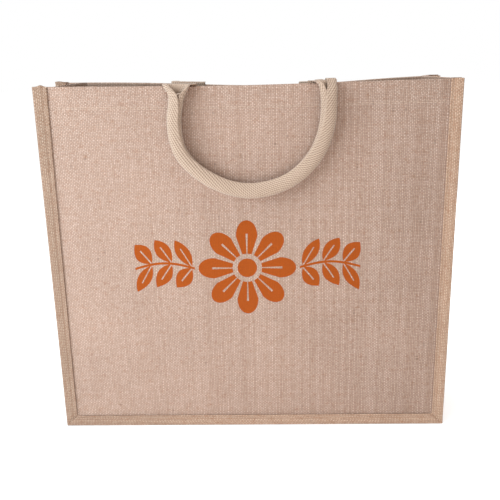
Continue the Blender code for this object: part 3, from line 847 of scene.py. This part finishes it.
# %% Handles
def handle(name, side):
    route = np.column_stack([ROUTE, np.ones(len(ROUTE))])
    route[:, [X, OUT, Z]] *= MM
    route[:, SEAM_ANGLE] = np.radians(route[:, SEAM_ANGLE])
    if side == BACK:
        ends = (route[:, Z] > FOOT) | (route[:, OUT] < 0)
        left, right = ends & (route[:, X] < 0), ends & (route[:, X] > 0)
        route[left, ROLL_OUT] = route[left, ROLL_IN]  # the rear webbing's left end is flat
        route[left, PRESSED] = 0.0
        route[left, X] = -66.3 * MM
        route[right, X] -= 4 * MM
        route[:, X] -= 1 * MM
        route[:, Z] += rim(BACK, route[:, X]) - rim(FRONT, route[:, X]) + 0.6 * MM
    route = smooth_route(route, STEPS)
    places = route[:, [X, OUT, Z]] * (1, side, 1)
    steps = np.gradient(places, axis=0)
    steps /= np.linalg.norm(steps, axis=1)[:, None]
    run = lengths_along(places)
    middle = run / run[-1]
    slant = np.tan(np.radians(np.interp(middle, [0.2, 0.32, 0.5, 0.8], [-24, 8, 33, 28])))
    drift = np.r_[0, np.cumsum(0.5 * (slant[1:] + slant[:-1]) * np.diff(run))]
    wide = np.interp(middle, [0.12, 0.25, 0.4, 0.6, 0.75, 0.88], [1.08, 1.04, 1.1, 1.12, 1.16, 1.14])
    part = np.r_[np.linspace(0, 0.9, 13), 0.94, 0.97, 0.99, 1.0]
    thin = np.interp(part, [0.97, 0.99, 1.0], [1.0, 0.75, 0.3])
    half = WEBBING / 2 * np.r_[thin[::-1], thin[1:]]
    width = WEB_WIDTH / 2 * np.r_[1 - part[::-1], 1 + part[1:]]
    outer, inner, flat, ribs, edges, tops = [], [], [], [], [], []
    for index in range(len(route)):
        place, forwards = places[index], steps[index]
        away = place - LOOP_MIDDLE
        away[1] = 0
        face = -side * np.cross(away, forwards)
        face /= np.linalg.norm(face)
        seam, roll_in, roll_out, pressed = route[index, [SEAM_ANGLE, ROLL_IN, ROLL_OUT, PRESSED]]
        sideways = np.cross(forwards, face) * -side
        up = cos(seam) * face - sin(seam) * sideways
        aside = sin(seam) * face + cos(seam) * sideways
        x_in, y_in, a_in, lift_in = half_section(part[::-1], roll_in, 0.0)
        fold_place = FOLD_LEFT if place[0] < 0 else FOLD_RIGHT
        x_out, y_out, a_out, lift_out = half_section(part[1:], roll_out, pressed, fold_place)
        closed = ease((min(roll_in, roll_out) - 0.6) / 0.4)
        wave = 0.18 * MM * sin(2 * pi * run[index] / (3.6 * MM))
        lip = closed * (1.1 * MM + wave) * ease((part[1:] - 0.80) / 0.20)
        sunk = -closed * 1.3 * MM * ease((part[::-1] - 0.66) / 0.34)
        across = np.r_[-x_in, x_out]
        height = np.r_[y_in, y_out] - (lift_in + lift_out) / 2
        angle = np.r_[-a_in, a_out]
        proud = np.r_[sunk, lip]
        line = across[:, None] * aside + height[:, None] * up
        inwards = np.cos(angle)[:, None] * up - np.sin(angle)[:, None] * aside
        line = line - inwards * proud[:, None]
        spread = 1 + (wide[index] - 1) * closed
        for grid, sign in ((outer, -1), (inner, 1)):
            shape = line + sign * inwards * half[:, None]
            in_plane = (shape @ sideways)[:, None] * sideways
            in_depth = (shape @ face)[:, None] * face
            shape = shape + (spread - 1) * in_plane + (1 / spread - 1) * in_depth
            x, y, z = (place + shape).T
            folded_over = 1.9 * MM * ease((x - 66 * MM) / (12 * MM))
            ceiling = rim(side, x) + 2.3 * MM + folded_over
            z = z - 0.8 * np.clip(z - ceiling, 0, None)  # pressed down on the rim
            grid.append(on_panel(side, x, side * y, z))
        length = np.full(len(width), run[index])
        flat.append(np.stack([width, length], 1))
        ribs.append(np.stack([width + drift[index], length], 1))
        edges.append((outer[-1][0], outer[-1][-1], closed))
        low, high = (on_panel(side, *(spot * (1, side, 1))) for spot in (place, place + up * 0.02))
        tops.append(high - low)
    piece = cloth(name, outer, inner, flat, [webbing])
    layer = piece.data.uv_layers.new(name="ribs")
    spots = np.concatenate([np.array(ribs).reshape(-1, 2)] * 2)
    corners = [loop.vertex_index for loop in piece.data.loops]
    layer.data.foreach_set("uv", spots[corners].astype(np.float32).ravel())
    print(f"{name}: {run[-1]:.3f} m of webbing")
    return piece, (run, edges, tops)


front_handle, front_slit = handle("front_handle_webbing", FRONT)
rear_handle, rear_slit = handle("rear_handle_webbing", BACK)

# %% [markdown]
# ## Stitches
#
# A lockstitch seam is a row of short threads that dive into the cloth at both ends.
# Each one here is a small rounded thread, thickest in the middle. All the stitches of
# one seam are one mesh.

# %% Stitches
RINGS, AROUND = 7, 6  # rings of points along one stitch, and points round a ring
HEM_PITCH, BINDING_PITCH, END_PITCH, OVER_PITCH = 4.2 * MM, 3 * MM, 3.2 * MM, 5.2 * MM
FINE_THREAD, END_THREAD, OVER_THREAD = 0.55 * MM, 0.7 * MM, 0.8 * MM
SHOWING = 0.78  # share of the pitch that a stitch covers, the rest is the gap
HEM_HALF = HEM_EDGE - 1.5 * MM


def stitches(name, rows, thickness, rise):
    """One mesh of short threads. A row has their starts, their ends and the way outward."""
    starts, ends, outward = (np.vstack(column) for column in zip(*rows))
    along = ends - starts
    length = np.linalg.norm(along, axis=1)
    along /= length[:, None]
    outward = outward - np.einsum("ij,ij->i", outward, along)[:, None] * along
    outward /= np.linalg.norm(outward, axis=1)[:, None]
    aside = np.cross(along, outward)
    radius = thickness / 2
    share = np.array([0.0, 0.1, 0.3, 0.5, 0.7, 0.9, 1.0])
    girth = radius * np.array([0.3, 0.75, 1.0, 1.0, 1.0, 0.75, 0.3])
    lift = radius * np.array([-1.0, 0.0, rise, rise, rise, 0.0, -1.0])
    corner = np.arange(AROUND)
    turn = (corner * pi / 3)[:, None]
    centre = starts[:, None] + share[:, None] * (ends - starts)[:, None]
    centre = centre + lift[:, None] * outward[:, None]
    ring = np.cos(turn) * aside[:, None] + np.sin(turn) * outward[:, None]
    points = centre[:, :, None] + girth[:, None, None] * ring[:, None]
    count = len(starts)
    first = np.arange(count) * RINGS * AROUND
    here = first[:, None, None] + np.arange(RINGS - 1)[:, None] * AROUND + corner
    there = here - corner + (corner + 1) % AROUND
    faces = np.stack([here, there, there + AROUND, here + AROUND], -1).reshape(-1, 4).tolist()
    uv = np.zeros((count, RINGS - 1, AROUND, 4, 2))
    for k, (step, on) in enumerate(((0, 0), (0, 1), (1, 1), (1, 0))):
        uv[..., k, 0] = (corner + on) / AROUND
        uv[..., k, 1] = (share[step : step + RINGS - 1] * length[:, None])[:, :, None]
    for start in first:
        faces.append((start + corner[::-1]).tolist())
        faces.append((start + (RINGS - 1) * AROUND + corner).tolist())
    uvs = np.concatenate([uv.reshape(-1, 2), np.zeros((count * 2 * AROUND, 2))])
    print(f"{name}: {count} stitches")
    return new_piece(name, points.reshape(-1, 3), faces, uvs, [thread], [0] * len(faces))


def seam_on_panel(side, out, way, line, total, pitch):
    """Starts, ends and directions of a seam's stitches. line gives x and z along the seam."""
    count = int(total / pitch)
    first = np.arange(count) / count
    places = []
    for t, at in ((first, out), (first + SHOWING / count, out), (first, out + 1 * MM)):
        x, z = line(t)
        places.append(on_panel(side, x, at, z))
    return places[0], places[1], way * (places[2] - places[0])


def line_of_stitches(points, away, pitch):
    """The same for a seam along a line of points."""
    run = lengths_along(points)
    first = np.arange(int(run[-1] / pitch)) * pitch
    wanted = ((points, first), (points, first + SHOWING * pitch), (away, first))
    return [np.stack([np.interp(at, run, column) for column in grid.T], 1) for grid, at in wanted]


hem_seams = {}
for side, word in ((FRONT, "front"), (BACK, "back")):
    rows = []
    for below in (STITCH_LINE, STITCH_LINE - 1.5 * MM):
        def hem_line(t):
            x = HEM_HALF * (2 * t - 1)
            return x, rim(side, x) - below

        for out, way in ((WALL - 0.1 * MM, 1), (-WALL - HEM_CLOTH, -1)):
            rows.append(seam_on_panel(side, out, way, hem_line, 2 * HEM_HALF, HEM_PITCH))
    hem_seams[word] = stitches(f"{word}_hem_stitches", rows, FINE_THREAD, 0.2)
rows = [line_of_stitches(near, near - far, HEM_PITCH) for near, far in gusset_lines]
gusset_seam = stitches("gusset_hem_stitches", rows, FINE_THREAD, 0.2)

# %% [markdown]
# Each handle end is sewn down inside the hem with a plain rectangle of stitches.

# %% Stitches of the handle ends
FOOT_LOW, FOOT_HIGH = 355 * MM, 373 * MM
foot_seams = {}
for side, word, places in (  # each with start, middle and end of its two rectangles, in mm
    (FRONT, "front", ((-72, -62, -52.5), (63.5, 70, 76))),
    (BACK, "rear", ((-82, -67.3, -52), (58.5, 65, 71.5))),
):
    rows = []
    for start_x, centre_x, end_x in places:
        drop = rim(side, centre_x * MM) - rim(FRONT, centre_x * MM)
        xs = np.array([start_x, end_x, end_x, start_x, start_x]) * MM
        zs = np.array([FOOT_LOW, FOOT_LOW, FOOT_HIGH, FOOT_HIGH, FOOT_LOW]) + drop
        corners = on_panel(side, xs, -3.7 * MM - WEBBING / 2, zs)
        inwards = np.tile([0, -side, 0], (len(xs), 1))
        rows.append(line_of_stitches(corners, inwards, END_PITCH))
    foot_seams[word] = stitches(f"{word}_handle_end_stitches", rows, END_THREAD, 0.3)

# %% [markdown]
# The bindings are sewn right through, so their stitches show on both sides. They lie
# 3 mm in from the tape's rolled edge. The oversewing on the handles passes over the
# slit in slanting threads and pulls one edge a little over the other.

# %% Binding and handle stitches
binding_seams = {}
for side, word in ((FRONT, "front"), (BACK, "back")):
    rows = []
    x = EDGE - BINDING_STITCH
    top = rim(side, x) - 2 * MM
    for out, way in ((TAPE_FRONT + TAPE / 2 - 0.25 * MM, 1), (TAPE_BACK - TAPE / 2, -1)):
        for hand in (-1, 1):
            def leg(t):
                reach = tape_reach(side, hand, BINDING_STITCH, out, top * t)
                return hand * (EDGE - reach), BINDING_STITCH + (top - BINDING_STITCH) * t

            rows.append(seam_on_panel(side, out, way, leg, top - BINDING_STITCH, BINDING_PITCH))
        rows.append(seam_on_panel(side, out, way, lambda t: (x * (2 * t - 1), BINDING_STITCH),
                                  2 * x, BINDING_PITCH))
    binding_seams[word] = stitches(f"{word}_binding_stitches", rows, FINE_THREAD, 0.3)


def oversewing(name, run, edges, tops):
    """Slanting threads over the slit of a closed tube."""
    rows, due = [], 0.0
    for index, ((one, _, closed), (_, there, still)) in enumerate(zip(edges, edges[2:])):
        if closed > 0.9 and still > 0.9 and run[index] > due:
            step = there - one
            rows.append((one - 0.15 * step, there + 0.2 * step, tops[index]))
            due = run[index] + OVER_PITCH
    return stitches(name, rows, OVER_THREAD, 1.0)


front_over = oversewing("front_handle_oversewing", *front_slit)
rear_over = oversewing("rear_handle_oversewing", *rear_slit)

# %% [markdown]
# ## What each piece stands for
#
# Every cloth rides on the one body and stands for its CAD node, which is hidden.

# %% Ride and replace
web_flat = (WEB_WIDTH, front_slit[0][-1])
PIECES = (  # cloth, its node, its slot, flat size, how it is held, what it is sewn to, its stitches
    (front_panel, "front_panel", "jute", (0.425, 0.405), "stretched", ["front_binding"],
     [hem_seams["front"]]),
    (back_panel, "back_panel", "jute", (0.425, 0.405), "stretched", ["back_binding"],
     [hem_seams["back"]]),
    (side_strip, "side_and_base_strip", "jute", (0.125, 1.17), "folded",
     ["front_binding", "back_binding"], [gusset_seam]),
    (front_binding, "front_binding", "jute_tape", (0.029, 1.19), "folded", ["front_panel"],
     [binding_seams["front"]]),
    (back_binding, "back_binding", "jute_tape", (0.029, 1.19), "folded", ["back_panel"],
     [binding_seams["back"]]),
    (front_handle, "front_handle", "cotton_webbing", web_flat, "hung", ["front_panel"],
     [front_over, foot_seams["front"]]),
    (rear_handle, "rear_handle", "cotton_webbing", web_flat, "hung", ["back_panel"],
     [rear_over, foot_seams["rear"]]),
)
for piece, node_name, slot, flat, held, rests_on, sewn in PIECES:
    for each in [piece, *sewn]:
        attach(each, "root")
    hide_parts(node_name)

# %% [markdown]
# ## Studio
#
# The bag stands on a plain pale floor. A broad soft light high above whitens the floor,
# which lights the bag from below. A second soft light stands to the left and in front,
# near enough to fall off across the bag, and draws the soft shadows to the right of the
# handle. A weak warm one low in front and one behind fill the shadows.

# %% Floor and lights
SIDES = 96  # of the round floor
floor_mesh = bpy.data.meshes.new("floor")
turns = np.linspace(0, 2 * pi, SIDES + 1)[:-1]
rings = [np.stack([r * np.cos(turns), r * np.sin(turns), 0 * turns], 1) for r in (0.5, 2.0, 9.0)]
faces = [list(range(SIDES))]
for first in (0, SIDES):
    for k in range(SIDES):
        here, there = first + k, first + (k + 1) % SIDES
        faces.append([here, there, there + SIDES, here + SIDES])
floor_mesh.from_pydata(np.concatenate(rings).tolist(), [], faces)
pale, shader, add = new_finish("pale_paper_sweep", 0.9, 0.0)
grain = add("TexNoise", {"Scale": 3.0, "Detail": 3.0})
paper = add("MixRGB", grain, colour("FAFAFA"), colour("FDFDFD"))
pale.node_tree.links.new(paper.outputs[0], shader.inputs["Base Color"])
shader.inputs["Emission Color"].default_value = (1, 1, 1, 1)
shader.inputs["Emission Strength"].default_value = 0.10  # the paper glows a little, lit from behind
floor_mesh.materials.append(pale)
put("floor", floor_mesh)


LIGHTS = (  # name, kind, place in metres, strength, tint, size in metres or the sun's angle
    ("overhead_softlight", "SUN", (0, FORWARD - 0.25, 3), 2.45, (1, 1, 1), radians(60)),
    ("left_softbox", "AREA", (-0.78, -0.62, 0.56), 11.3, (0.79, 0.905, 1), 0.7),
    ("low_warm_reflector", "AREA", (0.15, -0.90, 0.12), 1.7, (1, 0.78, 0.64), 0.6),
    ("back_softbox", "AREA", (0.45, 1.15, 0.60), 7.0, (1, 0.97, 0.94), 0.9),
)
for name, kind, place, energy, tint, size in LIGHTS:
    lamp = bpy.data.lights.new(name, kind)
    lamp.energy = energy
    lamp.color = tint
    setattr(lamp, "angle" if kind == "SUN" else "size", size)
    holder = put(name, lamp)
    holder.location = place
    aim = Vector((0, FORWARD, HEIGHT / 2)) - Vector(place)  # at the middle of the bag
    holder.rotation_euler = aim.to_track_quat("-Z", "Y").to_euler()
world = bpy.data.worlds.new("studio")
bpy.context.scene.world = world
world.use_nodes = True
tree = world.node_tree
background = tree.nodes["Background"]
seen = add_node(tree, "LightPath").outputs["Is Camera Ray"]
strength = add_node(tree, "MapRange", {"Value": seen, "To Min": 0.26, "To Max": 1.0})
tree.links.new(strength.outputs[0], background.inputs["Strength"])
background.inputs["Color"].default_value = (1, 1, 1, 1)
bpy.context.scene.view_settings.view_transform = "Standard"
print("lights:", [row[0] for row in LIGHTS])

# %% [markdown]
# ## Size
#
# The finer cloth has to keep the size of the CAD model.

# %% Finish
bpy.context.view_layer.update()
